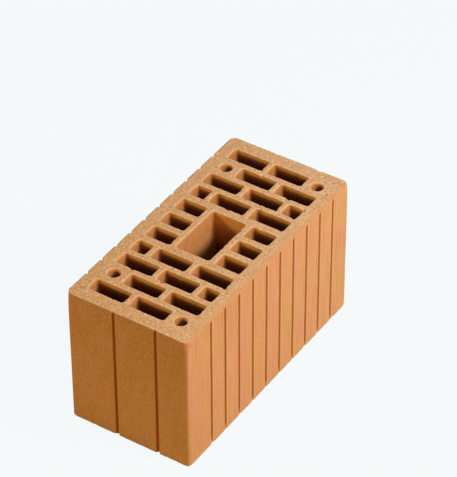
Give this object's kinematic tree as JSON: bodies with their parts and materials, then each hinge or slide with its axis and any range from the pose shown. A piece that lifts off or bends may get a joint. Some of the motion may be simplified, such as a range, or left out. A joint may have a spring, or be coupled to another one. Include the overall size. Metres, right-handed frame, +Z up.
{
  "type": "perforated clay brick",
  "caption": "Perforated fired-clay block with a central hand hole, rows of staggered slots and grooved sides, laid on its flat bed.",
  "frame": {"origin": "centre of the bottom bed face, on the surface the block rests on", "axes": "+X along the length, +Y along the width (the lit long side in the picture faces -Y), +Z up along the perforations"},
  "size_m": [0.25, 0.12, 0.138],
  "materials": {
    "fired_clay": "matte"
  },
  "bodies": {
    "root": {"brick": "fired_clay"}
  },
  "joints": []
}
